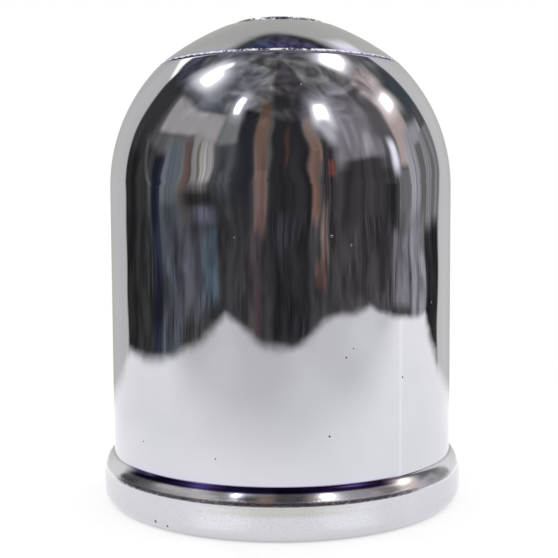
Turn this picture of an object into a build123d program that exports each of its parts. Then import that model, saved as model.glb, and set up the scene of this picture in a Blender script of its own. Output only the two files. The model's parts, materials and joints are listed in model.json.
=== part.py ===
from build123d import *
import os
from math import acos, cos, degrees, radians, sin, sqrt, tan

# Tow ball cover in millimetres: one hollow moulding turned about Z, standing on its open rim at Z = 0.

# Ball that the cover slips over, and the wall around it
ball_diameter = 50.0
ball_clearance = 0.4
wall = 2.6
mouth_chamfer = 0.6

# Flange round the rim, drawn in by an arc towards the floor, with a convex shoulder above its face
flange_step = 1.65
flange_face_top = 5.4
shoulder_radius = 2.7
rim_radius = 3.2
rim_turn = 50.0

# Dome, the fine groove that ends it, and the flatter cap above
dome_start = 50.8
groove_angle = 45.0
groove_depth = 0.25
cap_lean = 5.5
cap_end_slope = 23.0
cap_flat_diameter = 19.0
cap_edge_round = 1.0

# Low round button on the flat of the cap, with a side that leans in
button_diameter = 15.6
button_height = 0.82
button_lean = 25.0

# Radii of the bore, body and flange
bore_radius = ball_diameter / 2 + ball_clearance
body_radius = bore_radius + wall
flange_radius = body_radius + flange_step
rim_foot_radius = flange_radius - rim_radius * (1 - cos(radians(rim_turn)))

# The shoulder turns until it has crossed the step, and so meets the upright body in a sharp crease
shoulder_turn = degrees(acos(1 - flange_step / shoulder_radius))

# Ring where the dome ends and the cap starts
groove_ring_radius = body_radius * cos(radians(groove_angle))
groove_ring_height = dome_start + body_radius * sin(radians(groove_angle))

# The cap leans back from the dome's slope at the groove and eases to its end slope at the flat
cap_start = radians(90 - groove_angle - cap_lean)
cap_end = radians(cap_end_slope)
cap_radius = (groove_ring_radius - cap_flat_diameter / 2) / (sin(cap_start) - sin(cap_end))
cap_height = groove_ring_height + cap_radius * (cos(cap_end) - cos(cap_start))

# The button narrows by its lean
button_top_radius = button_diameter / 2 - button_height * tan(radians(button_lean))

# Half of a small square sunk along the line between dome and cap makes the groove's V
groove_square = groove_depth * sqrt(2)
groove_square_turn = groove_angle + cap_lean / 2 + 45

# Inside, a cone runs level with the cap from the end of the ball seat to a flat one wall under the cap's flat
ceiling_height = cap_height - wall
seat_end_height = dome_start + bore_radius * sin(radians(groove_angle))
seat_end_radius = bore_radius * cos(radians(groove_angle))
ceiling_radius = seat_end_radius - (ceiling_height - seat_end_height) / tan((cap_start + cap_end) / 2)

os.makedirs("parts", exist_ok=True)

with BuildPart() as cover_shell:
    # Outside form, from the foot of the rim up to the flat of the cap
    with BuildSketch(Plane.XZ):
        with BuildLine():
            foot = Line((0, 0), (rim_foot_radius, 0))
            foot_tangent = (sin(radians(rim_turn)), cos(radians(rim_turn)))
            rim = JernArc(foot @ 1, foot_tangent, rim_radius, rim_turn)
            face = Line(rim @ 1, (flange_radius, flange_face_top))
            shoulder = JernArc(face @ 1, face % 1, shoulder_radius, shoulder_turn)
            side = Line(shoulder @ 1, (body_radius, dome_start))
            dome = JernArc(side @ 1, side % 1, body_radius, groove_angle)
            cap_tangent = (-cos(cap_start), sin(cap_start))
            cap = JernArc(dome @ 1, cap_tangent, cap_radius, degrees(cap_start - cap_end))
            flat = Line(cap @ 1, (0, cap_height))
            Line(flat @ 1, foot @ 0)
        make_face()
    revolve(axis=Axis.Z)
    fillet(cover_shell.edges().filter_by(GeomType.CIRCLE).sort_by(Axis.Z)[-1], cap_edge_round)

    # Low button on the flat
    with Locations((0, 0, cap_height)):
        Cone(button_diameter / 2, button_top_radius, button_height, align=(Align.CENTER, Align.CENTER, Align.MIN))

    # Fine groove between dome and cap
    with BuildSketch(Plane.XZ):
        with Locations((groove_ring_radius, groove_ring_height)):
            Rectangle(groove_square, groove_square, rotation=groove_square_turn)
    revolve(axis=Axis.Z, mode=Mode.SUBTRACT)

    # Straight bore with a seat for the top of the ball and a level ceiling
    with BuildSketch(Plane.XZ):
        with BuildLine():
            bore = Line((bore_radius, 0), (bore_radius, dome_start))
            seat = JernArc(bore @ 1, bore % 1, bore_radius, groove_angle)
            slope = Line(seat @ 1, (ceiling_radius, ceiling_height))
            ceiling = Line(slope @ 1, (0, ceiling_height))
            Polyline(ceiling @ 1, (0, 0), bore @ 0)
        make_face()
    revolve(axis=Axis.Z, mode=Mode.SUBTRACT)
    foot_circles = cover_shell.edges().filter_by(GeomType.CIRCLE).group_by(Axis.Z)[0]
    chamfer(foot_circles.sort_by(SortBy.RADIUS)[0], mouth_chamfer)

cover_shell.part.label = "cover_shell"
export_step(cover_shell.part, "parts/cover_shell.step")
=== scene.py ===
"""Dresses the tow ball cover: one chrome-plated turned shell on a pale floor, under soft studio light."""

import json
import logging
import math
from dataclasses import dataclass, replace
from enum import Enum

import bpy
import numpy as np
from mathutils import Matrix, Vector


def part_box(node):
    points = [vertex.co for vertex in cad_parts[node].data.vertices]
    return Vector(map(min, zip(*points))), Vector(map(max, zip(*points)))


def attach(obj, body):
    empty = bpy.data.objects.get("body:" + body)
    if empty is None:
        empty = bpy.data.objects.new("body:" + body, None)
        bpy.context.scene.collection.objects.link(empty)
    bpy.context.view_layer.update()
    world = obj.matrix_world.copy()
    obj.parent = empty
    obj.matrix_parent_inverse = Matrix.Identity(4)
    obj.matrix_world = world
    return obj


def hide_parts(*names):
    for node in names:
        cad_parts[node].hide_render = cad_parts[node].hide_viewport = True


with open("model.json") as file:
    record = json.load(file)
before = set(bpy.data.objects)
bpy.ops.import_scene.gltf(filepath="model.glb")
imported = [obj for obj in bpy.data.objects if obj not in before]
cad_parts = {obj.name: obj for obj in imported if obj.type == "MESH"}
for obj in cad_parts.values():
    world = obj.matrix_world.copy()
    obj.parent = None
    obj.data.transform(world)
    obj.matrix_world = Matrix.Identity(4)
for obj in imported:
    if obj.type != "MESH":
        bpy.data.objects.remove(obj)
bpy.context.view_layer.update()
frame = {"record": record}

LOG = logging.getLogger("tow_ball_cover")
MM = 0.001
MERGE_GAP = 0.001 * MM
RING_GAP = 0.01 * MM
HALF_TURN = 180.0

Point = tuple[float, float]
Triple = tuple[float, float, float]
Rgb = Triple
Socket = bpy.types.NodeSocket
Feed = Socket | float | Rgb | Vector


def grey(level: float) -> Rgb:
    """Gives a neutral colour of one level."""
    return level, level, level


def towards(angle: float) -> Vector:
    """Gives the level direction at an angle from the front, in degrees to the right."""
    turn = math.radians(angle)
    return Vector((math.sin(turn), -math.cos(turn), 0.0))


class NodeBoard:
    """Adds and links the nodes of one shader tree."""

    def __init__(self, tree: bpy.types.NodeTree) -> None:
        """Starts on an emptied tree."""
        self.tree = tree
        self.tree.nodes.clear()

    def add(self, kind: str, *feeds: Feed, **settings: object) -> bpy.types.Node:
        """Adds one node, sets its properties, and feeds its inputs in order.

        Args:
            kind: The node's type name.
            *feeds: What goes into its first inputs.
            **settings: Properties of the node, by name.

        Returns:
            The new node.
        """
        node = self.tree.nodes.new(kind)
        for name, value in settings.items():
            setattr(node, name, value)
        for socket, value in zip(node.inputs, feeds):
            self.feed(socket, value)
        return node

    def feed(self, socket: Socket, value: Feed) -> None:
        """Links an output to an input, or writes a plain value into it.

        Args:
            socket: The input socket.
            value: An output socket, a number, a colour or a vector.
        """
        if isinstance(value, Socket):
            self.tree.links.new(value, socket)
        elif isinstance(value, tuple) and socket.type == "RGBA":
            socket.default_value = (*value, 1.0)
        else:
            socket.default_value = value

    def math(self, operation: str, *values: Feed) -> Socket:
        """Adds a Math node and returns its output."""
        return self.add("ShaderNodeMath", *values, operation=operation).outputs[0]

    def times(self, first: Feed, second: Feed) -> Socket:
        """Multiplies two values."""
        return self.math("MULTIPLY", first, second)

    def gap(self, first: Feed, second: Feed) -> Socket:
        """Works out how far apart two values are."""
        return self.math("ABSOLUTE", self.math("SUBTRACT", first, second))

    def vector(self, operation: str, first: Feed, second: Feed) -> bpy.types.Node:
        """Adds a Vector Math node with two inputs and returns it."""
        return self.add("ShaderNodeVectorMath", first, second, operation=operation)

    def ease(self, value: Feed, start: float, end: float, low: float = 0.0, high: float = 1.0) -> Socket:
        """Maps a value smoothly from one range to another.

        Args:
            value: What is mapped.
            start: The value that gives low.
            end: The value that gives high.
            low: The result at start.
            high: The result at end.

        Returns:
            The mapped value, held at low and high outside the range.
        """
        feeds = (value, start, end, low, high)
        return self.add("ShaderNodeMapRange", *feeds, interpolation_type="SMOOTHSTEP").outputs[0]

    def within(self, value: Feed, start: float, end: float, soft: float) -> Socket:
        """Masks a range of a value.

        Args:
            value: What is tested.
            start: Where the range starts.
            end: Where it ends.
            soft: How widely each end is softened.

        Returns:
            A mask that is 1 in the range.
        """
        away = self.gap(value, (start + end) / 2)
        return self.ease(away, (end - start + soft) / 2, (end - start - soft) / 2)

    def noise(
        self, place: Feed, scale: float, detail: float = 2.0, rough: float = 0.5, swirl: float = 0.0
    ) -> Socket:
        """Reads a noise texture.

        Args:
            place: Where it is read.
            scale: How many waves it has along a unit.
            detail: How many finer layers it has.
            rough: How strong the finer layers are.
            swirl: How far it is bent by itself.

        Returns:
            The noise, 0.5 on average.
        """
        node = self.add("ShaderNodeTexNoise")
        names = ("Vector", "Scale", "Detail", "Roughness", "Distortion")
        for name, value in zip(names, (place, scale, detail, rough, swirl)):
            self.feed(node.inputs[name], value)
        return node.outputs[0]

    def blend(self, factor: Feed, below: Feed, above: Feed, mode: str = "MIX") -> Socket:
        """Mixes two colours.

        Args:
            factor: How much of the upper colour shows.
            below: The lower colour.
            above: The upper colour.
            mode: The blend mode.

        Returns:
            The mixed colour.
        """
        node = self.add("ShaderNodeMix", factor, data_type="RGBA", blend_type=mode)
        # The node's colour sockets are inputs 6 and 7 and output 2
        self.feed(node.inputs[6], below)
        self.feed(node.inputs[7], above)
        return node.outputs[2]

    def tinted(self, colour: Feed, factor: Feed) -> Socket:
        """Multiplies a colour by a factor."""
        return self.blend(1.0, colour, factor, "MULTIPLY")


class FinishBoard(NodeBoard):
    """The node board of a new material, which reads object coordinates as its place and as x, y and z."""

    def __init__(self, name: str) -> None:
        """Starts a material.

        Args:
            name: The material's name.
        """
        self.material = bpy.data.materials.new(name)
        self.material.use_nodes = True
        super().__init__(self.material.node_tree)
        self.place = self.add("ShaderNodeTexCoord").outputs["Object"]
        self.x, self.y, self.z = self.add("ShaderNodeSeparateXYZ", self.place).outputs

    def distance(self, point: Vector) -> Socket:
        """Measures how far the place is from a point."""
        return self.vector("DISTANCE", self.place, point).outputs["Value"]

    def bump(self, height: Socket, depth: float, normal: Socket | None = None, sunk: bool = False) -> Socket:
        """Adds a relief to the normal.

        Args:
            height: The relief.
            depth: Its depth in metres.
            normal: The normal so far, where it isn't the plain one.
            sunk: Whether the relief goes inwards.

        Returns:
            The new normal.
        """
        node = self.add("ShaderNodeBump", invert=sunk)
        node.inputs["Distance"].default_value = depth
        self.feed(node.inputs["Height"], height)
        if normal is not None:
            self.feed(node.inputs["Normal"], normal)
        return node.outputs["Normal"]

    def finish(self, shader: bpy.types.Node) -> bpy.types.Material:
        """Shows a shader on the surface and returns the material."""
        self.add("ShaderNodeOutputMaterial", shader.outputs[0])
        return self.material


class PlateGrade(Enum):
    """How bright a plated face comes out of the bath, as its lowest roughness."""

    MIRROR = 0.03
    SATIN = 0.26


@dataclass(frozen=True)
class Pit:
    """A small flaw in the plate, placed by its angle from the front in degrees and by lengths in mm."""

    angle: float
    height: float
    size: float
    radius: float = 28.0

    @property
    def place(self) -> Vector:
        """The pit's place in metres."""
        return (towards(self.angle) * self.radius + Vector((0.0, 0.0, self.height))) * MM


@dataclass(frozen=True)
class PlateZone:
    """A ring of the shell where the plate differs, by radius, height and reach in metres.

    It can be broken up into flecks, fewer where sparse is higher, and limited to a stretch of the ring, by
    the turn of its middle from the front and its spread to either side, both in degrees.
    """

    ring: Point
    reach: float
    colour: Rgb
    cover: float
    rough: float = 0.0
    grain: float = 0.0
    grain_scale: float = 3000.0
    flecks: float = 0.0
    metal: float = 1.0
    sparse: float = 0.45
    turn: float = 0.0
    spread: float = HALF_TURN
    full_share: float = 0.6
    fleck_blur: float = 0.15
    end_blur: float = 0.06


FLAWS = (
    Pit(-48.2, 12.5, 0.14),
    Pit(-19.9, 11.7, 0.12),
    Pit(21.0, 42.2, 0.16),
    Pit(19.3, 26.3, 0.16),
    Pit(21.6, 27.5, 0.12),
    Pit(39.6, 22.6, 0.16),
    Pit(54.8, 33.1, 0.14),
    Pit(-31.0, 27.1, 0.12),
    Pit(-13.4, 43.4, 0.14),
    Pit(-39.2, 1.5, 0.30, 29.6),
    Pit(-34.8, 1.2, 0.26, 29.4),
)


@dataclass(frozen=True)
class ChromePlate:
    """Chrome over moulded plastic: a cool tint, faint haze, a trace of mould ripple, and small pits.

    Scales are in waves for each metre, ranges are the noise that a change starts and ends at, and brush is
    how strongly fine turning marks smear light along the axis.
    """

    name: str
    grade: PlateGrade
    tint: Rgb
    shade: Rgb
    haze: float
    ripple: float
    flaws: tuple[Pit, ...] = ()
    brush: float = 0.0
    cloud_scale: float = 45.0
    cloud_range: Point = (0.35, 0.65)
    smear_scale: float = 160.0
    smear_range: Point = (0.5, 0.75)
    ripple_scale: float = 110.0
    speck_scale: float = 260.0
    speck_reach: Point = (0.05, 0.02)
    speck_rarity: float = 0.8
    pit_colour: Rgb = (0.10, 0.095, 0.10)
    pit_rough: float = 0.4
    pit_depth: float = 0.05 * MM

    def make(self, zones: tuple[PlateZone, ...] = ()) -> bpy.types.Material:
        """Builds the material.

        Args:
            zones: Grainy or tinted rings, and rings of painted reflection, highlight and shade.

        Returns:
            The finished material.
        """
        board = FinishBoard(self.name)
        clouds = board.ease(board.noise(board.place, self.cloud_scale, detail=3.0), *self.cloud_range)
        smears = board.noise(board.place, self.smear_scale, detail=5.0, rough=0.6)
        smears = board.ease(smears, *self.smear_range)
        pits = self.pits(board)
        colour = board.blend(clouds, self.tint, self.shade)
        rough = board.math("MULTIPLY_ADD", smears, self.haze, self.grade.value)
        ripple = board.bump(board.noise(board.place, self.ripple_scale), self.ripple)
        normal = board.bump(pits, self.pit_depth, ripple, sunk=True)
        metal: Feed = 1.0
        squares = (board.times(axis, axis) for axis in (board.x, board.y))
        radius = board.math("SQRT", board.math("ADD", *squares))
        section = board.add("ShaderNodeCombineXYZ", radius, board.z).outputs[0]
        for zone in zones:
            mask = self.zone_mask(board, radius, section, zone)
            colour = board.blend(board.times(mask, zone.cover), colour, zone.colour)
            rough = board.math("MULTIPLY_ADD", mask, zone.rough, rough)
            if zone.metal < 1.0:
                metal = board.math("MULTIPLY_ADD", mask, zone.metal - 1.0, metal)
            if zone.grain:
                sand = board.noise(board.place, zone.grain_scale, detail=3.0, rough=0.6)
                normal = board.bump(board.times(sand, mask), zone.grain, normal)
        plate = board.add("ShaderNodeBsdfPrincipled")
        board.feed(plate.inputs["Base Color"], board.blend(pits, colour, self.pit_colour))
        board.feed(plate.inputs["Metallic"], metal)
        board.feed(plate.inputs["Roughness"], board.math("MULTIPLY_ADD", pits, self.pit_rough, rough))
        board.feed(plate.inputs["Normal"], normal)
        if self.brush:
            plate.inputs["Anisotropic"].default_value = self.brush
            axis = Vector((0.0, 0.0, 1.0))
            upright = board.add("ShaderNodeVectorTransform", axis, convert_from="OBJECT", convert_to="WORLD")
            board.feed(plate.inputs["Tangent"], upright.outputs[0])
        return board.finish(plate)

    def pits(self, board: FinishBoard) -> Socket:
        """Masks the placed flaws and a thin scatter of specks.

        Args:
            board: The material's node board.

        Returns:
            A mask that is 1 in a pit and 0 on sound plate.
        """
        cells = board.add("ShaderNodeTexVoronoi", board.place)
        cells.inputs["Scale"].default_value = self.speck_scale
        rare = board.math("GREATER_THAN", cells.outputs["Color"], self.speck_rarity)
        mask = board.times(board.ease(cells.outputs["Distance"], *self.speck_reach), rare)
        for flaw in self.flaws:
            size = flaw.size * MM
            mask = board.math("MAXIMUM", mask, board.ease(board.distance(flaw.place), size, size / 2))
        return mask

    def zone_mask(self, board: FinishBoard, radius: Socket, section: Socket, zone: PlateZone) -> Socket:
        """Masks one ring of the shell.

        Args:
            board: The material's node board.
            radius: The place's distance from the axis.
            section: The place's radius and height as a vector.
            zone: The ring.

        Returns:
            A mask that is 1 at the ring and falls to 0 at its reach.
        """
        away = board.vector("DISTANCE", section, Vector((*zone.ring, 0.0))).outputs["Value"]
        mask = board.ease(away, zone.reach, zone.reach * zone.full_share)
        if zone.flecks:
            flecks = board.noise(board.place, zone.flecks, detail=3.0, rough=0.7)
            mask = board.times(mask, board.ease(flecks, zone.sparse, zone.sparse + zone.fleck_blur))
        if zone.spread < HALF_TURN:
            ahead = board.vector("DOT_PRODUCT", board.place, towards(zone.turn)).outputs["Value"]
            facing = board.math("DIVIDE", ahead, radius)
            end = math.cos(math.radians(zone.spread))
            mask = board.times(mask, board.ease(facing, end - zone.end_blur, end + zone.end_blur))
        return mask


OUTSIDE_PLATE = ChromePlate(
    name="bright_chrome",
    grade=PlateGrade.MIRROR,
    tint=(0.66, 0.66, 0.695),
    shade=(0.635, 0.635, 0.68),
    haze=0.04,
    ripple=0.004 * MM,
    flaws=FLAWS,
)
TURNED_PLATE = replace(OUTSIDE_PLATE, name="turned_chrome", brush=0.95)
INSIDE_PLATE = ChromePlate(
    name="satin_chrome",
    grade=PlateGrade.SATIN,
    tint=(0.52, 0.51, 0.50),
    shade=(0.44, 0.43, 0.43),
    haze=0.14,
    ripple=0.03 * MM,
)


class SectionPen:
    """Draws a section in the XZ plane with edit-mode operators, like a pen that goes forward and turns."""

    def __init__(self, name: str, start: Point, heading: float) -> None:
        """Puts the pen down.

        Args:
            name: The new object's name.
            start: Radius and height of the first point, in metres.
            heading: The first direction in degrees, 0 outwards and 90 upwards.
        """
        bpy.ops.object.select_all(action="DESELECT")
        bpy.ops.mesh.primitive_plane_add(size=MM)
        self.piece = bpy.context.object
        self.piece.name = self.piece.data.name = name
        self.at = Vector(start)
        self.heading = heading
        bpy.ops.object.mode_set(mode="EDIT")
        bpy.ops.mesh.select_all(action="SELECT")
        bpy.ops.mesh.merge(type="CENTER")
        bpy.ops.transform.translate(value=(self.at.x, 0.0, self.at.y))

    def line_to(self, point: Point, steps: int = 1) -> None:
        """Draws a straight run to a point, and leaves the pen heading along it.

        Args:
            point: Radius and height of the end, in metres.
            steps: How many equal edges the run has.
        """
        run = Vector(point) - self.at
        step = run / steps
        for _ in range(steps):
            bpy.ops.mesh.extrude_region_move(TRANSFORM_OT_translate={"value": (step.x, 0.0, step.y)})
        self.at = Vector(point)
        self.heading = math.degrees(math.atan2(run.y, run.x))

    def turn_to(self, heading: float) -> None:
        """Turns the pen on the spot, which leaves a corner."""
        self.heading = heading

    def arc(self, radius: float, turn: float, steps: int) -> None:
        """Draws an arc that starts along the pen's heading.

        Args:
            radius: The arc's radius in metres.
            turn: How far the pen turns in degrees, to the left where positive.
            steps: How many equal edges the arc has.
        """
        side = math.copysign(90.0, turn)
        aside = math.radians(self.heading + side)
        centre = self.at + Vector((math.cos(aside), math.sin(aside))) * radius
        bpy.ops.mesh.spin(
            steps=steps,
            angle=math.radians(turn),
            center=(centre.x, 0.0, centre.y),
            axis=(0.0, 1.0, 0.0),
        )
        self.heading += turn
        end = math.radians(self.heading - side)
        self.at = centre + Vector((math.cos(end), math.sin(end))) * radius

    def spin_up(self, segments: int) -> bpy.types.Object:
        """Spins the section once round the Z axis and closes the shell.

        Args:
            segments: How many steps the full turn has.

        Returns:
            The turned object, in object mode.
        """
        bpy.ops.mesh.select_all(action="SELECT")
        bpy.ops.mesh.spin(steps=segments, angle=math.tau, center=(0.0, 0.0, 0.0), axis=(0.0, 0.0, 1.0))
        bpy.ops.mesh.select_all(action="SELECT")
        bpy.ops.mesh.remove_doubles(threshold=MERGE_GAP)
        bpy.ops.mesh.normals_make_consistent(inside=False)
        bpy.ops.object.mode_set(mode="OBJECT")
        return self.piece


@dataclass(frozen=True)
class SoftEdge:
    """A ring of the shell whose corner is eased by a bevel."""

    ring: Point
    width: float
    segments: int


@dataclass
class CoverShell:
    """The turned shell of the cover, from the ball seat inside to the button on top.

    Lengths are in metres and angles in degrees. The first three come from the frame.
    """

    flange_radius: float
    total_height: float
    bore_radius: float
    node: str = "cover_shell"
    body: str = "root"
    slot: str = "plated_shell"
    flange_step: float = 1.65 * MM
    flange_face_top: float = 5.4 * MM
    shoulder_radius: float = 2.7 * MM
    shoulder_flat: float = 4.5 * MM
    flat_from: float = 20.0
    flat_to: float = 45.0
    rim_round: float = 2.1 * MM
    mouth_chamfer: float = 0.6 * MM
    dome_start: float = 50.8 * MM
    groove_angle: float = 45.0
    lip_height: float = 0.32 * MM
    lip_undercut: float = 20.0
    ledge_drop: float = 0.03 * MM
    cap_lean: float = 5.5
    cap_end_slope: float = 23.0
    cap_flat_radius: float = 9.5 * MM
    button_radius: float = 7.8 * MM
    button_height: float = 0.82 * MM
    button_lean: float = 25.0
    turn_segments: int = 256
    dome_steps: int = 76
    cap_steps: int = 36
    seat_steps: int = 30
    side_steps: int = 20
    rim_steps: int = 16
    bore_steps: int = 12
    shoulder_steps: int = 9
    slope_steps: int = 8
    flat_steps: int = 4
    inward_facing: float = -0.2

    def build(self) -> bpy.types.Object:
        """Draws the section, turns it, eases its corners and dresses it.

        Returns:
            The finished piece, riding on its body.
        """
        piece = self.draw_section().spin_up(self.turn_segments)
        for edge in self.soft_edges:
            self.ease_edge(piece, edge)
        self.smooth(piece)
        self.dress(piece)
        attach(piece, self.body)
        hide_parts(self.node)
        return piece

    @property
    def body_radius(self) -> float:
        """Radius of the straight outside wall."""
        return self.flange_radius - self.flange_step

    @property
    def cap_height(self) -> float:
        """Height of the flat that the button stands on."""
        return self.total_height - self.button_height

    @property
    def shoulder_turn(self) -> float:
        """Angle that the shoulder turns through before it meets the body."""
        return math.degrees(math.acos(1.0 - self.flange_step / self.shoulder_radius))

    @property
    def crease(self) -> Point:
        """Ring where the shoulder meets the body."""
        rise = self.shoulder_radius * math.sin(math.radians(self.shoulder_turn))
        return self.body_radius, self.flange_face_top + rise

    @property
    def shoulder_arcs(self) -> tuple[Point, ...]:
        """Radius and turn of the three arcs that the shoulder is drawn with, flatter in the middle.

        The middle arc is given, and the other two are as large as lets the shoulder end in the crease.
        """
        stops = np.radians((0.0, self.flat_from, self.flat_to, self.shoulder_turn))
        steps = -np.diff(np.cos(stops))
        rises = np.diff(np.sin(stops))
        whole = np.array((self.flange_step, self.crease[1] - self.flange_face_top))
        rest = whole - self.shoulder_flat * np.array((steps[1], rises[1]))
        ends = np.linalg.solve(np.array((steps[::2], rises[::2])), rest)
        radii = (ends[0], self.shoulder_flat, ends[1])
        return tuple((float(radius), float(turn)) for radius, turn in zip(radii, np.degrees(np.diff(stops))))

    @property
    def groove_ring(self) -> Point:
        """Ring where the dome ends and the cap starts."""
        turn = math.radians(self.groove_angle)
        reach = self.body_radius * math.cos(turn)
        return reach, self.dome_start + self.body_radius * math.sin(turn)

    @property
    def lip_root(self) -> Point:
        """Foot of the cap's lip, deep in the groove."""
        lean = math.radians(self.lip_undercut)
        reach, height = self.groove_ring
        return reach - self.lip_height * math.sin(lean), height - self.lip_height * math.cos(lean)

    @property
    def ledge(self) -> Point:
        """Edge of the dome below the groove."""
        height = self.lip_root[1] - self.ledge_drop
        return math.sqrt(self.body_radius**2 - (height - self.dome_start) ** 2), height

    @property
    def cap_start_slope(self) -> float:
        """Slope of the cap at the groove."""
        return 90.0 - self.groove_angle - self.cap_lean

    @property
    def cap_radius(self) -> float:
        """Radius of the arc that bows the cap."""
        spread = math.sin(math.radians(self.cap_start_slope)) - math.sin(math.radians(self.cap_end_slope))
        return (self.groove_ring[0] - self.cap_flat_radius) / spread

    @property
    def button_edge(self) -> Point:
        """Upper edge of the button, whose side leans in."""
        lean = self.button_height * math.tan(math.radians(self.button_lean))
        return self.button_radius - lean, self.total_height

    @property
    def seat_end(self) -> Point:
        """Ring where the ball seat ends inside."""
        turn = math.radians(self.groove_angle)
        return self.bore_radius * math.cos(turn), self.dome_start + self.bore_radius * math.sin(turn)

    @property
    def ceiling(self) -> Point:
        """Edge of the level ceiling inside, one wall below the flat."""
        height = self.cap_height - (self.body_radius - self.bore_radius)
        slope = math.radians((self.cap_start_slope + self.cap_end_slope) / 2)
        return self.seat_end[0] - (height - self.seat_end[1]) / math.tan(slope), height

    @property
    def soft_edges(self) -> tuple[SoftEdge, ...]:
        """The corners that moulding and plating have eased."""
        return (
            SoftEdge(self.crease, 0.05 * MM, 2),
            SoftEdge(self.ledge, 0.05 * MM, 2),
            SoftEdge(self.groove_ring, 0.05 * MM, 2),
            SoftEdge((self.cap_flat_radius, self.cap_height), 0.18 * MM, 4),
            SoftEdge(self.button_edge, 0.1 * MM, 3),
            SoftEdge((self.button_radius, self.cap_height), 0.08 * MM, 3),
            SoftEdge((self.bore_radius, self.mouth_chamfer), 0.1 * MM, 2),
            SoftEdge((self.bore_radius + self.mouth_chamfer, 0.0), 0.1 * MM, 2),
        )

    @property
    def zones(self) -> tuple[PlateZone, ...]:
        """Grainy, tinted or brighter rings, and painted reflections, highlights and shade, lowest layer
        first.
        """
        flange_middle = (self.flange_radius, self.flange_face_top / 2)
        face_edge = (self.flange_radius, self.flange_face_top + 0.2 * MM)
        face_line = (self.flange_radius, self.flange_face_top + 0.4 * MM)
        shoulder = (self.flange_radius - 0.5 * MM, self.flange_face_top + 1.5 * MM)
        halo = (self.crease[0], self.crease[1] + 0.3 * MM)
        # Painted shade: a dark violet line under the crease on the front half, where the chrome mirrors the
        # dark room.
        crease_painted_shade = (self.crease[0] + 0.3 * MM, self.crease[1] - 0.42 * MM)
        groove = self.groove_ring
        lip_middle = (groove[0] - 0.05 * MM, groove[1] - 0.15 * MM)
        button_side = (self.button_radius - 0.2 * MM, self.total_height - 0.4 * MM)
        flange_grain = {"grain": 0.012 * MM, "flecks": 3400.0}
        edge_grain = {"grain": 0.035 * MM, "grain_scale": 2800.0}
        line_grain = {"grain": 0.006 * MM, "flecks": 4200.0, "sparse": 0.35, "turn": -8.0, "spread": 50.0}
        lip_grain = {"grain": 0.05 * MM, "grain_scale": 2400.0, "flecks": 1250.0, "sparse": 0.4}
        button_grain = {"grain": 0.05 * MM, "grain_scale": 1800.0, "flecks": 1100.0}
        button_glint_flecks = {"metal": 0.1, "flecks": 700.0, "sparse": 0.47}
        return (
            PlateZone(flange_middle, 3.4 * MM, (0.52, 0.52, 0.545), 0.22, rough=0.03, **flange_grain),
            PlateZone(face_edge, 0.9 * MM, (0.66, 0.66, 0.69), 0.0, rough=0.02, **edge_grain),
            # Painted reflection: the flange face darker and olive near the front, for the dark floor it
            # mirrors there.
            PlateZone(face_edge, 1.9 * MM, (0.50, 0.50, 0.465), 0.75, spread=18.0),
            PlateZone(shoulder, 1.6 * MM, (0.95, 0.93, 0.97), 1.0, rough=0.13),
            # Painted dark reflection: a beaded black line where the shoulder leaves the face, on the front
            # only.
            PlateZone(face_line, 0.36 * MM, (0.05, 0.045, 0.07), 0.85, rough=0.05, **line_grain),
            PlateZone(groove, 1.3 * MM, (0.61, 0.54, 0.84), 0.75),
            # Painted shade: a darker band down the middle of the lip, in the gap of the groove.
            PlateZone(lip_middle, 0.35 * MM, (0.22, 0.21, 0.22), 0.7, rough=0.1),
            # Painted highlight: a beaded white line on the lip, of near-white plate with little metal in it.
            PlateZone(groove, 0.5 * MM, grey(1.0), 1.0, rough=0.3, metal=0.05, **lip_grain),
            PlateZone(button_side, 0.7 * MM, (0.16, 0.16, 0.165), 0.4, rough=0.08, **button_grain),
            # Painted glints: white flecks on the button's side, with little metal in them.
            PlateZone(button_side, 0.6 * MM, (1.0, 1.0, 0.99), 1.0, rough=0.3, **button_glint_flecks),
            PlateZone(halo, 0.5 * MM, (0.64, 0.60, 0.84), 0.32, turn=-10.0, spread=50.0),
            # Painted shade under the crease, on the front half only.
            PlateZone(crease_painted_shade, 0.75 * MM, (0.030, 0.017, 0.080), 1.0, turn=-10.0, spread=45.0),
        )

    def draw_section(self) -> SectionPen:
        """Draws the closed half section, down the inside from the ceiling and back up to the button.

        Returns:
            The pen at the end of the section.
        """
        pen = SectionPen(self.node + "_plated", (0.0, self.ceiling[1]), 0.0)
        pen.line_to(self.ceiling, self.flat_steps)
        pen.line_to(self.seat_end, self.slope_steps)
        pen.turn_to(self.groove_angle - 90.0)
        pen.arc(self.bore_radius, -self.groove_angle, self.seat_steps)
        pen.line_to((self.bore_radius, self.mouth_chamfer), self.bore_steps)
        pen.line_to((self.bore_radius + self.mouth_chamfer, 0.0))
        pen.line_to((self.flange_radius - self.rim_round, 0.0), steps=2)
        pen.arc(self.rim_round, 90.0, self.rim_steps)
        pen.line_to((self.flange_radius, self.flange_face_top), self.flat_steps)
        for radius, turn in self.shoulder_arcs:
            pen.arc(radius, turn, self.shoulder_steps)
        pen.line_to((self.body_radius, self.dome_start), self.side_steps)
        self.draw_dome(pen)
        self.draw_top(pen)
        return pen

    def draw_dome(self, pen: SectionPen) -> None:
        """Draws the dome, the ledge of the fine groove and the undercut lip of the cap above it.

        Args:
            pen: The pen, at the top of the straight wall.
        """
        pen.turn_to(90.0)
        rise = self.ledge[1] - self.dome_start
        pen.arc(self.body_radius, math.degrees(math.asin(rise / self.body_radius)), self.dome_steps)
        pen.line_to(self.lip_root, steps=2)
        pen.line_to(self.groove_ring, steps=2)

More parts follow.
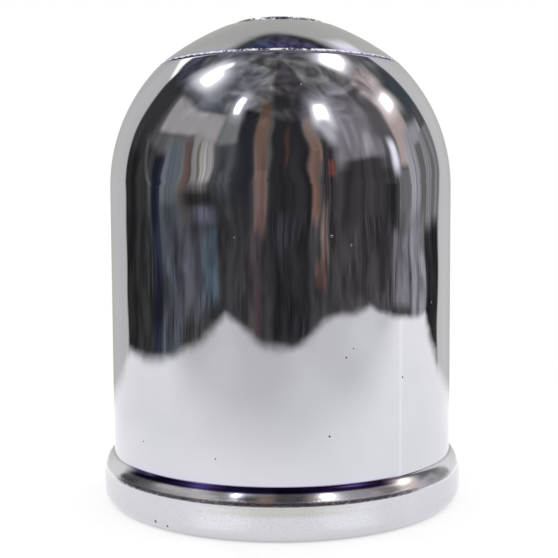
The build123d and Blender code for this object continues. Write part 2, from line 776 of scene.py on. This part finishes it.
    def draw_top(self, pen: SectionPen) -> None:
        """Draws the cap, the flat and the button, and ends on the axis.

        Args:
            pen: The pen, at the tip of the cap's lip.
        """
        pen.turn_to(HALF_TURN - self.cap_start_slope)
        pen.arc(self.cap_radius, self.cap_start_slope - self.cap_end_slope, self.cap_steps)
        LOG.info("section reaches the flat at %.3f mm, %.3f mm", pen.at.x / MM, pen.at.y / MM)
        pen.line_to((self.button_radius, self.cap_height), steps=2)
        pen.line_to(self.button_edge, steps=2)
        pen.line_to((0.0, self.total_height), self.flat_steps)

    def ease_edge(self, piece: bpy.types.Object, edge: SoftEdge) -> None:
        """Bevels one ring of the shell.

        Args:
            piece: The turned shell.
            edge: The ring, and how far and how finely it is eased.
        """
        mesh = piece.data
        spots = np.empty(len(mesh.vertices) * 3, np.float32)
        mesh.vertices.foreach_get("co", spots)
        spots = spots.reshape(-1, 3)
        away = np.hypot(np.hypot(spots[:, 0], spots[:, 1]) - edge.ring[0], spots[:, 2] - edge.ring[1])
        near = away < RING_GAP
        ends = np.empty(len(mesh.edges) * 2, np.int32)
        mesh.edges.foreach_get("vertices", ends)
        chosen = near[ends.reshape(-1, 2)].all(axis=1)
        bpy.context.tool_settings.mesh_select_mode = (False, True, False)
        bpy.ops.object.mode_set(mode="EDIT")
        bpy.ops.mesh.select_all(action="DESELECT")
        bpy.ops.object.mode_set(mode="OBJECT")
        mesh.edges.foreach_set("select", chosen)
        mesh.vertices.foreach_set("select", near)
        bpy.ops.object.mode_set(mode="EDIT")
        bpy.ops.mesh.bevel(offset=edge.width, segments=edge.segments, affect="EDGES", clamp_overlap=True)
        bpy.ops.object.mode_set(mode="OBJECT")
        LOG.info("eased %d edges at radius %.2f mm", int(chosen.sum()), edge.ring[0] / MM)

    def smooth(self, piece: bpy.types.Object) -> None:
        """Shades the shell smooth, with normals that follow its broad faces.

        Args:
            piece: The turned shell, selected and active.
        """
        bpy.ops.object.shade_smooth()
        weighted = piece.modifiers.new("broad_faces", "WEIGHTED_NORMAL")
        bpy.ops.object.modifier_apply(modifier=weighted.name)

    def dress(self, piece: bpy.types.Object) -> None:
        """Gives the outside its mirror plate, the inside its satin one and the shoulder its turned one.

        Args:
            piece: The turned shell.
        """
        mesh = piece.data
        for finish in (OUTSIDE_PLATE.make(self.zones), INSIDE_PLATE.make(), TURNED_PLATE.make(self.zones)):
            mesh.materials.append(finish)
        for face in mesh.polygons:
            reach = face.center.xy.length
            outwards = face.center.xy.normalized().dot(face.normal.xy)
            under = face.normal.z < self.inward_facing and reach < self.bore_radius
            if outwards < self.inward_facing or under:
                face.material_index = 1
            elif reach > self.body_radius and face.center.z > self.flange_face_top:
                face.material_index = 2


@dataclass(frozen=True)
class PaleFloor:
    """The pale sheet that the cover stands on, softly lit from within and clear from below.

    Lengths are in metres and angles in degrees. Gains are factors, and another pair of numbers is where a
    change starts and ends, or a place on the floor. The sheet's edges are soft and a little uneven, because
    the chrome mirrors them. The front edge curves in by the bay, and the front right corner is cut off.
    """

    width: float = 0.489
    depth: float = 0.351
    centre: Point = (0.0585, -0.0965)
    colour: Rgb = (0.50, 0.50, 0.505)
    grain_scale: float = 30.0
    grain_range: Point = (0.3, 0.7)
    grain_gain: Point = (0.95, 1.0)
    front: Point = (-0.04, -0.13)
    front_shade: Rgb = (0.205, 0.205, 0.215)
    front_scale: float = 7.0
    front_range: Point = (0.35, 0.65)
    front_gain: Point = (0.75, 1.25)
    corner_steps: int = 6
    fray: float = 0.020
    fray_scale: float = 16.0
    fray_depth: float = 0.030
    bay: float = 0.045
    bay_sides: Point = (0.15, 0.03)
    bay_front: Point = (-0.12, -0.2)
    corner_turn: float = 31.2
    corner_cut: float = 0.323
    glow: float = 0.62
    foot: Point = (0.0268, 0.0290)
    left_gain: float = 0.88
    left_away: Point = (0.05, 0.1)
    left_sides: Point = (0.06, -0.02)
    ray_start: Point = (0.0175, -0.022)
    ray_turn: float = 84.5
    ray_edge: Point = (2.2, 0.6)
    ray_gain: float = 1.16
    spots: tuple[Point, ...] = ((-0.0155, -0.037), (0.017, -0.037))
    spot_edge: Point = (0.011, 0.004)
    spot_gain: float = 1.28

    def build(self) -> bpy.types.Object:
        """Makes the floor.

        Returns:
            The floor.
        """
        bpy.ops.object.select_all(action="DESELECT")
        bpy.ops.mesh.primitive_plane_add(size=1.0, location=(*self.centre, 0.0))
        floor = bpy.context.object
        floor.name = "pale_floor"
        bpy.ops.object.mode_set(mode="EDIT")
        bpy.ops.mesh.select_all(action="SELECT")
        bpy.ops.transform.resize(value=(self.width + 2 * self.fray, self.depth + 2 * self.fray, 1.0))
        bpy.ops.mesh.bevel(offset=self.fray, segments=self.corner_steps, affect="VERTICES")
        bpy.ops.object.mode_set(mode="OBJECT")
        bpy.ops.object.transform_apply(location=True, rotation=True, scale=True)
        floor.data.materials.append(self.material())
        return floor

    def material(self) -> bpy.types.Material:
        """Builds the floor's matt finish.

        Returns:
            The finished material.
        """
        board = FinishBoard("pale_matt")
        grain = board.noise(board.place, self.grain_scale, detail=3.0)
        grain = board.ease(grain, *self.grain_range, *self.grain_gain)
        # Painted shadow: the floor is darker towards the front, in soft patches.
        patches = board.noise(board.place, self.front_scale, detail=0.0)
        shade = board.tinted(self.front_shade, board.ease(patches, *self.front_range, *self.front_gain))
        tone = board.blend(board.ease(board.y, *self.front), self.colour, shade)
        matt = board.add("ShaderNodeBsdfDiffuse", board.tinted(tone, grain))
        glow = board.add("ShaderNodeEmission")
        board.feed(glow.inputs["Strength"], self.light(board))
        lit = board.add("ShaderNodeAddShader", matt.outputs[0], glow.outputs[0])
        clear = board.add("ShaderNodeBsdfTransparent")
        shown = board.add("ShaderNodeMixShader", self.gone(board), lit.outputs[0], clear.outputs[0])
        return board.finish(shown)

    def light(self, board: FinishBoard) -> Socket:
        """Works out the light from within, with a narrow ray to one side and two bright spots in front.

        Args:
            board: The material's node board.

        Returns:
            The strength of the light.
        """
        away = board.distance(Vector())
        lamp = board.ease(away, *self.foot, 0.0, self.glow)
        left = board.times(board.ease(away, *self.left_away), board.ease(board.x, *self.left_sides))
        lamp = board.times(lamp, board.math("MULTIPLY_ADD", left, self.left_gain - 1.0, 1.0))
        aside = board.math("SUBTRACT", board.x, self.ray_start[0])
        ahead = board.math("SUBTRACT", self.ray_start[1], board.y)
        turn = board.math("DEGREES", board.math("ARCTAN2", aside, ahead))
        gain = board.ease(board.gap(turn, self.ray_turn), *self.ray_edge, 1.0, self.ray_gain)
        for spot in self.spots:
            bright = board.ease(board.distance(Vector((*spot, 0.0))), *self.spot_edge, 1.0, self.spot_gain)
            gain = board.math("MAXIMUM", gain, bright)
        return board.times(lamp, gain)

    def gone(self, board: FinishBoard) -> Socket:
        """Masks where the floor is clear: past its frayed edge, under the shell's mouth, and from below.

        Args:
            board: The material's node board.

        Returns:
            A mask that is 1 where the floor is clear.
        """
        beside = board.math("SUBTRACT", board.gap(board.x, self.centre[0]), self.width / 2)
        before = board.math("SUBTRACT", board.gap(board.y, self.centre[1]), self.depth / 2)
        turn = math.radians(self.corner_turn)
        ahead = board.math("MULTIPLY_ADD", board.y, -math.cos(turn), -self.corner_cut)
        corner = board.math("MULTIPLY_ADD", board.x, math.sin(turn), ahead)
        over = board.math("MAXIMUM", board.math("MAXIMUM", beside, before), corner)
        middle = board.ease(board.math("ABSOLUTE", board.x), *self.bay_sides)
        curved = board.times(middle, board.ease(board.y, *self.bay_front))
        over = board.math("MULTIPLY_ADD", curved, self.bay, over)
        rough = board.math("SUBTRACT", board.noise(board.place, self.fray_scale), 0.5)
        edge = board.math("MULTIPLY_ADD", rough, self.fray_depth, over)
        frayed = board.ease(edge, -self.fray, self.fray)
        mouth = board.math("LESS_THAN", board.distance(Vector()), self.foot[0])
        below = board.add("ShaderNodeNewGeometry").outputs["Backfacing"]
        return board.math("MAXIMUM", board.math("MAXIMUM", frayed, mouth), below)


@dataclass(frozen=True)
class SoftPanel:
    """One soft-edged panel of the surroundings, placed by direction.

    Angles are in degrees. Azimuth 0 is on the camera's side and grows to its right. The panel's sides are
    softened over blur and its ends over fade, and slant is how far it leans to the right for each degree up.
    """

    left: float
    right: float
    low: float
    high: float
    blur: float
    fade: float
    colour: Rgb
    slant: float = 0.0


@dataclass(frozen=True)
class Streaks:
    """Streaks of light and dark, by their waves for each unit across and up and by their two factors."""

    across: float
    up: float
    dim: float
    bright: float


FAR_PANELS = (
    SoftPanel(-125, -25, 48, 80, 10, 8, (0.20, 0.205, 0.22)),
    SoftPanel(-115, -50, 43.5, 50, 8, 4, (0.11, 0.12, 0.14)),
    SoftPanel(-135, -103, 10, 46, 6, 8, (0.050, 0.050, 0.055)),
    SoftPanel(-134, -114, 43, 56.5, 6, 4, (0.080, 0.080, 0.105)),
    SoftPanel(-92, -48, 0, 26, 8, 8, grey(0.17)),
    SoftPanel(38, 74, 13, 60, 8, 9, (0.25, 0.233, 0.255)),
    SoftPanel(69, 91, 26, 72, 8, 8, (0.14, 0.13, 0.135)),
    SoftPanel(-8, 34, 42, 88, 10, 8, (0.068, 0.064, 0.070)),
    SoftPanel(34, 83, -14, 2, 4, 2, (0.068, 0.062, 0.064)),
    SoftPanel(38, 77, -2, 9, 8, 3.5, (0.060, 0.055, 0.057)),
    SoftPanel(43, 72, 4, 15.5, 12, 4, (0.055, 0.050, 0.052)),
    SoftPanel(112, 132, 27, 44, 6, 6, (0.070, 0.082, 0.095)),
)
NEAR_PANELS = (
    SoftPanel(-124, -107, -14, 14, 2.5, 5, grey(0.028)),
    SoftPanel(-107, -92, -14, 19, 3, 6, grey(0.042)),
    SoftPanel(-101.5, -98.5, 1, 21, 3, 6, grey(0.11), slant=-0.55),
    SoftPanel(-92, -83, -14, 16, 2.5, 6, (0.027, 0.031, 0.050)),
    SoftPanel(-82.5, -69, 0, 22, 3, 5, (0.150, 0.172, 0.190)),
    SoftPanel(-82.5, -66, -14, 0.2, 3, 0.8, (0.078, 0.085, 0.098)),
    SoftPanel(-98, -44, 27, 43, 5, 4, (0.44, 0.42, 0.415)),
    SoftPanel(-63, -45, 3, 29, 3, 6, (0.38, 0.36, 0.345)),
    SoftPanel(-58, -55.5, 3, 25, 1.8, 8, (0.20, 0.19, 0.15)),
    SoftPanel(-68.5, -62, 0.6, 24, 2.5, 5, (0.138, 0.100, 0.090)),
    SoftPanel(-67, -30, 0, 1, 12, 0.7, grey(0.028)),
    SoftPanel(-58, -42, -1, 0, 9, 0.6, (0.140, 0.147, 0.188)),
    SoftPanel(-64, -36, -1.5, -0.9, 10, 0.5, grey(0.045)),
    SoftPanel(-65, -49, -6.2, -1.3, 2.5, 1.6, (0.107, 0.113, 0.130)),
    SoftPanel(-48.5, -41, -5.4, -1.3, 2, 1.4, (0.100, 0.137, 0.168)),
    SoftPanel(-39, -20, -14, -0.6, 3, 0.9, (0.055, 0.053, 0.056)),
    SoftPanel(-43, -30, 23, 45, 4, 8, (0.235, 0.247, 0.243)),
    SoftPanel(-43, -23, 1, 25, 4, 5, (0.088, 0.094, 0.100)),
    SoftPanel(-39.5, -37, 1, 9, 2, 4, (0.160, 0.172, 0.185)),
    SoftPanel(-30, -17, -0.6, 47, 7, 4, (0.030, 0.031, 0.036)),
    SoftPanel(-17.5, -9, 4, 55, 2.5, 6, (0.200, 0.135, 0.104)),
    SoftPanel(-16, -8.5, -1.7, 10, 2.4, 1.2, (0.240, 0.160, 0.140)),
    SoftPanel(-18.5, -12, -14, -1.3, 2.5, 1.2, (0.085, 0.068, 0.069)),
    SoftPanel(-6, 18, -14, 44, 3.5, 6, (0.031, 0.031, 0.035)),
    SoftPanel(3.8, 7.4, 14, 38, 2.4, 9, (0.080, 0.046, 0.038)),
    SoftPanel(19, 26.5, 16, 43, 2.5, 5, (0.250, 0.168, 0.132)),
    SoftPanel(18.5, 24, -0.8, 22, 2.2, 1.2, (0.220, 0.137, 0.110)),
    SoftPanel(25.5, 30, -3.3, 0.3, 2, 1, (0.215, 0.155, 0.135)),
    SoftPanel(21.5, 28.5, -4.6, -3.1, 2.4, 0.8, (0.176, 0.102, 0.090)),
    SoftPanel(26, 35, -0.2, 29, 2.2, 5, (0.046, 0.040, 0.045)),
    SoftPanel(31, 36.5, 6.5, 15.5, 3, 4, (0.200, 0.072, 0.066)),
    SoftPanel(45.5, 48.5, 21, 45, 2.5, 9, (0.40, 0.38, 0.41)),
    SoftPanel(53.5, 56.5, 20, 40, 2.5, 9, (0.34, 0.32, 0.35)),
    SoftPanel(60, 66, 18, 32, 3.5, 8, (0.42, 0.40, 0.42)),
    SoftPanel(69, 81, -1.2, 1.8, 4, 0.8, grey(0.033)),
    SoftPanel(84, 95, -1.5, 8, 3, 2, grey(0.20)),
    SoftPanel(77, 93, -5.6, -1.4, 3, 0.8, (0.210, 0.203, 0.225)),
    SoftPanel(87, 104, 10, 42, 4, 5, (0.56, 0.466, 0.430)),
    SoftPanel(86, 116, 46, 56, 10, 7, (0.46, 0.385, 0.375)),
    SoftPanel(94.5, 118, -1.5, 25, 2.5, 5, (0.40, 0.39, 0.41)),
    SoftPanel(94.5, 110, -14, -1, 2.5, 1, (0.32, 0.31, 0.335)),
    SoftPanel(105.5, 111, -2.5, 18, 2, 3, grey(0.17)),
    SoftPanel(113.5, 130, -1, 20, 2.5, 1.6, grey(0.24)),
    SoftPanel(110, 130, -14, -1, 2, 1.4, grey(0.030)),
)
LAMPS = (
    SoftPanel(-40, -30, 42, 59, 9, 14, (0.80, 0.77, 0.88)),
    SoftPanel(-38, -33, 45, 55, 4, 5, (5.5, 5.3, 5.8)),
    SoftPanel(24, 47, 33, 57, 20, 20, (0.36, 0.35, 0.39)),
    SoftPanel(29, 42, 38, 52, 10, 11, grey(1.5)),
    SoftPanel(32.5, 38.5, 41.5, 49.5, 6, 7, grey(9.0)),
    SoftPanel(31.5, 39, 27, 42, 6, 12, (0.62, 0.61, 0.66)),
    SoftPanel(78.5, 85, 8, 23, 5, 9, (1.20, 1.17, 1.27), slant=-0.15),
    SoftPanel(89, 109, 33, 44, 14, 10, (1.40, 1.27, 1.21)),
    SoftPanel(95, 104, 35.5, 41, 8, 5, (5.0, 4.6, 4.4)),
    SoftPanel(92, 128, 60, 73, 18, 10, grey(1.6)),
    SoftPanel(98, 122, 63, 70, 14, 6, grey(6.0)),
    SoftPanel(-110, -66, 50, 71, 18, 14, (0.48, 0.49, 0.52)),
    SoftPanel(-108, -76, 53, 66, 20, 11, (1.45, 1.47, 1.52)),
    SoftPanel(-100, -84, 56, 63, 12, 6, (6.0, 6.1, 6.3)),
    SoftPanel(-102, -93, 60, 70, 6, 4, grey(2.0)),
)
GLARES = (
    SoftPanel(-144, -124, 38.4, 50, 5, 3, grey(2.0)),
    SoftPanel(144, 160, 42.5, 52, 8, 5, (1.05, 1.02, 1.10)),
)
HIGH_ARCS = Streaks(0.03, 0.10, 0.7, 1.35)
BROAD_STREAKS = Streaks(0.14, 0.28, 0.66, 1.45)
FINE_STREAKS = Streaks(0.6, 0.15, 0.55, 1.7)
CAP_STREAKS = Streaks(7.0, 0.16, 0.5, 1.7)
MOTTLE_RANGE = (0.32, 0.68)


class SkyBoard(NodeBoard):
    """The node board of a world, which reads a ray's direction, and its azimuth and elevation in degrees."""

    bend_scale: float = 3.5
    bend_offset: Triple = (5.0, 0.0, 0.0)
    bend_rise: Point = (2.0, 30.0)
    sway_waves: Point = (0.03, 0.25)
    sway_fall: Point = (6.0, 0.0)

    def __init__(self, tree: bpy.types.NodeTree, wander: float, sway: float) -> None:
        """Works out where a ray looks, with slow changes that bend the panels' edges.

        Args:
            tree: The world's node tree.
            wander: How far both angles wander, in degrees.
            sway: How far the azimuth sways near the horizon, in degrees.
        """
        super().__init__(tree)
        self.direction = self.add("ShaderNodeTexCoord").outputs["Generated"]
        x, y, z = self.add("ShaderNodeSeparateXYZ", self.direction).outputs
        elsewhere = self.vector("ADD", self.direction, Vector(self.bend_offset)).outputs[0]
        azimuth = self.math("DEGREES", self.math("ARCTAN2", x, self.times(y, -1.0)))
        elevation = self.math("DEGREES", self.math("ARCSINE", z))
        across, up = self.sway_waves
        swing = self.stretched(azimuth, across, elevation, up, detail=0.0)
        azimuth = self.bent(azimuth, swing, self.ease(elevation, *self.sway_fall, 0.0, sway))
        rise = self.ease(elevation, *self.bend_rise, 0.0, wander)
        self.azimuth = self.bent(azimuth, self.noise(self.direction, self.bend_scale, detail=0.0), wander)
        self.elevation = self.bent(elevation, self.noise(elsewhere, self.bend_scale, detail=0.0), rise)

    def bent(self, angle: Socket, noise: Socket, span: Feed) -> Socket:
        """Bends an angle to either side by a noise over a span."""
        return self.math("MULTIPLY_ADD", self.math("SUBTRACT", noise, 0.5), span, angle)

    def stretched(
        self, side: Socket, across: float, height: Socket, up: float, detail: float = 2.0
    ) -> Socket:
        """Reads a noise that is stretched along one of two measures.

        Args:
            side: The measure across, such as the azimuth.
            across: How many waves it has for each unit across.
            height: The measure upwards, such as the elevation.
            up: How many waves it has for each unit up.
            detail: How many finer layers it has.

        Returns:
            The noise, 0.5 on average.
        """
        place = self.add("ShaderNodeCombineXYZ", self.times(side, across), self.times(height, up))
        return self.noise(place.outputs[0], 1.0, detail)

    def mottled(self, colour: Socket, noise: Socket, dim: float, bright: float) -> Socket:
        """Dims and brightens a colour by a noise."""
        return self.tinted(colour, self.ease(noise, *MOTTLE_RANGE, dim, bright))

    def streaked(self, colour: Socket, streaks: Streaks, side: Socket, height: Socket) -> Socket:
        """Lays streaks over a colour.

        Args:
            colour: The colour below.
            streaks: The streaks.
            side: The measure across.
            height: The measure upwards.

        Returns:
            The streaked colour.
        """
        noise = self.stretched(side, streaks.across, height, streaks.up)
        return self.mottled(colour, noise, streaks.dim, streaks.bright)

    def paint(self, colour: Socket, panel: SoftPanel) -> Socket:
        """Lays one panel over the surroundings.

        Args:
            colour: The surroundings so far.
            panel: What is laid over them.

        Returns:
            The surroundings with the panel.
        """
        side = self.azimuth
        if panel.slant:
            above = self.math("SUBTRACT", self.elevation, (panel.low + panel.high) / 2)
            side = self.math("SUBTRACT", side, self.times(above, panel.slant))
        across = self.within(side, panel.left, panel.right, panel.blur)
        upright = self.within(self.elevation, panel.low, panel.high, panel.fade)
        return self.blend(self.times(across, upright), colour, panel.colour)


@dataclass(frozen=True)
class StudioSurround:
    """Soft light all round, and the dim panels, lamps and backdrop that the chrome mirrors.

    Angles are in degrees. Gains are the factors at either end of a noise, waves are for each degree across
    and up, and another pair of numbers is where a change starts and ends. Shades are steps of grey as the
    elevation goes up, each with its start, end and level.
    """

    base_shade: float = 0.055
    shades: tuple[Triple, ...] = ((-2.0, 12.0, 0.11), (35.0, 55.0, 0.21), (72.0, 86.0, 0.13))
    smoke_scale: float = 3.6
    smoke_gain: Point = (0.62, 1.5)
    smoke_rise: Point = (34.0, 52.0)
    arcs_rise: Point = (36.0, 60.0)
    patch_waves: Point = (0.05, 0.35)
    patch_range: Point = (0.48, 0.62)
    streaks_fall: Point = (36.0, 8.0)
    backdrop_sides: Rgb = (0.64, 0.64, 0.635)
    backdrop_middle: Rgb = (0.51, 0.51, 0.48)
    middle_turn: Point = (138.0, 165.0)
    backdrop_edge: Point = (123.3, 126.3)
    backdrop_turn: float = 3.2
    backdrop_lean: float = 0.18
    backdrop_top: float = 40.5
    backdrop_fade: Point = (2.5, -2.5)
    crown: float = 15.0
    crown_turn: Point = (131.0, 153.0)
    right_lift: float = 1.1
    lift_side: Point = (0.0, 0.5)
    overhead_left: Rgb = (0.050, 0.070, 0.130)
    overhead_right: Rgb = (0.085, 0.072, 0.138)
    overhead_side: Point = (-0.35, 0.1)
    overhead_edge: Rgb = (0.050, 0.048, 0.052)
    overhead_rim: Point = (9.0, 3.0)
    overhead_turn: Point = (125.0, 150.0)
    overhead_rise: Point = (0.0, 4.0)
    overhead_end: Point = (80.0, 68.0)
    floor_light: float = 1.0
    under_light: float = 0.8
    under_fall: Point = (-20.0, -40.0)
    wander: float = 8.0
    sway: float = 6.0

    def build(self) -> bpy.types.World:
        """Makes the world.

        Returns:
            The world, set on the scene.
        """
        world = bpy.data.worlds.new("soft_studio")
        world.use_nodes = True
        world.cycles.sampling_method = "NONE"
        bpy.context.scene.world = world
        board = SkyBoard(world.node_tree, self.wander, self.sway)
        path = board.add("ShaderNodeLightPath")
        shown = board.add("ShaderNodeBackground", self.surroundings(board))
        for ray, light in (("Is Diffuse Ray", self.floor_light), ("Is Camera Ray", 1.0)):
            plain = board.add("ShaderNodeBackground", grey(light))
            shown = board.add("ShaderNodeMixShader", path.outputs[ray], shown.outputs[0], plain.outputs[0])
        board.add("ShaderNodeOutputWorld", shown.outputs[0])
        return world

    def surroundings(self, board: SkyBoard) -> Socket:
        """Paints the surroundings that the chrome mirrors.

        Args:
            board: The world's node board.

        Returns:
            The colour of the surroundings.
        """
        azimuth, elevation = board.azimuth, board.elevation
        colour: Feed = grey(self.base_shade)
        for start, end, level in self.shades:
            colour = board.blend(board.ease(elevation, start, end), colour, grey(level))
        for panel in FAR_PANELS + NEAR_PANELS:
            colour = board.paint(colour, panel)
        smoke = board.noise(board.direction, self.smoke_scale, detail=1.0, rough=0.4, swirl=2.0)
        smoke = board.mottled(colour, smoke, *self.smoke_gain)
        colour = board.blend(board.ease(elevation, *self.smoke_rise), colour, smoke)
        arcs = board.streaked(colour, HIGH_ARCS, azimuth, elevation)
        colour = board.blend(board.ease(elevation, *self.arcs_rise), colour, arcs)
        below = board.math("MINIMUM", elevation, 0.0)
        broad = board.streaked(colour, BROAD_STREAKS, azimuth, below)
        fine = board.streaked(broad, FINE_STREAKS, azimuth, below)
        across, up = self.patch_waves
        patches = board.ease(board.stretched(azimuth, across, below, up), *self.patch_range)
        streaks = board.blend(patches, broad, fine)
        colour = board.blend(board.ease(elevation, *self.streaks_fall), colour, streaks)
        for panel in LAMPS:
            colour = board.paint(colour, panel)
        colour = self.paint_behind(board, colour)
        return board.blend(board.ease(elevation, *self.under_fall), colour, grey(self.under_light))

    def paint_behind(self, board: SkyBoard, colour: Socket) -> Socket:
        """Lays the grey backdrop behind the object, and the darkness above it.

        Args:
            board: The world's node board.
            colour: The surroundings so far.

        Returns:
            The whole surroundings.
        """
        elevation = board.elevation
        aside = board.math("ABSOLUTE", board.azimuth)
        side = board.math("SINE", board.math("RADIANS", board.azimuth))
        crown = board.ease(aside, *self.crown_turn, 0.0, self.crown)
        over = board.math("SUBTRACT", board.math("SUBTRACT", elevation, crown), self.backdrop_top)
        right = board.ease(side, *self.overhead_side)
        overhead = board.blend(right, self.overhead_left, self.overhead_right)
        overhead = board.blend(board.ease(over, *self.overhead_rim), overhead, self.overhead_edge)
        overhead = board.streaked(overhead, CAP_STREAKS, side, elevation)
        reach = board.times(board.ease(over, *self.overhead_rise), board.ease(elevation, *self.overhead_end))
        dark = board.times(board.ease(aside, *self.overhead_turn), reach)
        colour = board.blend(dark, colour, overhead)
        middle = board.ease(aside, *self.middle_turn)
        backdrop = board.blend(middle, self.backdrop_sides, self.backdrop_middle)
        backdrop = board.tinted(backdrop, board.ease(side, *self.lift_side, 1.0, self.right_lift))
        for panel in GLARES:
            backdrop = board.paint(backdrop, panel)
        above = board.math("MAXIMUM", elevation, 0.0)
        turned = board.gap(board.azimuth, self.backdrop_turn)
        turned = board.math("MULTIPLY_ADD", above, -self.backdrop_lean, turned)
        behind = board.ease(turned, *self.backdrop_edge)
        shown = board.times(behind, board.ease(over, *self.backdrop_fade))
        return board.blend(shown, colour, backdrop)


@dataclass(frozen=True)
class StudioCamera:
    """The photograph's viewpoint: eye and angles fitted to its outline, for a frame of 558 pixels a side.

    Lengths are in metres, angles in degrees, and the sensor in millimetres.
    """

    eye_distance: float = 168.0 * MM
    eye_height: float = 47.6 * MM
    pitch: float = 4.07
    roll: float = -0.32
    focal_pixels: float = 1003.0
    frame_pixels: float = 558.0
    axis_column: float = 280.9
    sensor: float = 36.0
    clip_start: float = 5.0 * MM

    def build(self) -> bpy.types.Object:
        """Makes the camera and sets it on the scene.

        Returns:
            The camera.
        """
        data = bpy.data.cameras.new("studio_camera")
        camera = bpy.data.objects.new("studio_camera", data)
        bpy.context.scene.collection.objects.link(camera)
        data.sensor_width = self.sensor
        data.lens = self.focal_pixels / self.frame_pixels * self.sensor
        data.clip_start = self.clip_start
        yaw = math.atan((self.axis_column - self.frame_pixels / 2) / self.focal_pixels)
        aim = Matrix.Rotation(yaw, 4, "Z") @ Matrix.Rotation(math.radians(90.0 - self.pitch), 4, "X")
        tilt = Matrix.Rotation(math.radians(self.roll), 4, "Z")
        camera.matrix_world = Matrix.Translation((0.0, -self.eye_distance, self.eye_height)) @ aim @ tilt
        bpy.context.scene.camera = camera
        return camera


def shell_from_frame() -> CoverShell:
    """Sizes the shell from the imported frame.

    Returns:
        The shell, not built yet.
    """
    low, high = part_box("cover_shell")
    mounts = {mount["name"]: mount for mount in frame["record"]["mounts"]}
    bore_radius = mounts["ball_bore"]["dims"]["r_mm"] * MM
    return CoverShell((high.x - low.x) / 2, high.z, bore_radius)


def main() -> None:
    """Builds the cover, its floor, the light and the camera."""
    logging.basicConfig(level=logging.INFO, format="%(name)s: %(message)s")
    shell = shell_from_frame().build()
    LOG.info("%s has %d faces", shell.name, len(shell.data.polygons))
    LOG.info("%s laid", PaleFloor().build().name)
    LOG.info("%s lit", StudioSurround().build().name)
    LOG.info("%s set", StudioCamera().build().name)
    bpy.context.scene.view_settings.view_transform = "Standard"


if __name__ == "__main__":
    main()
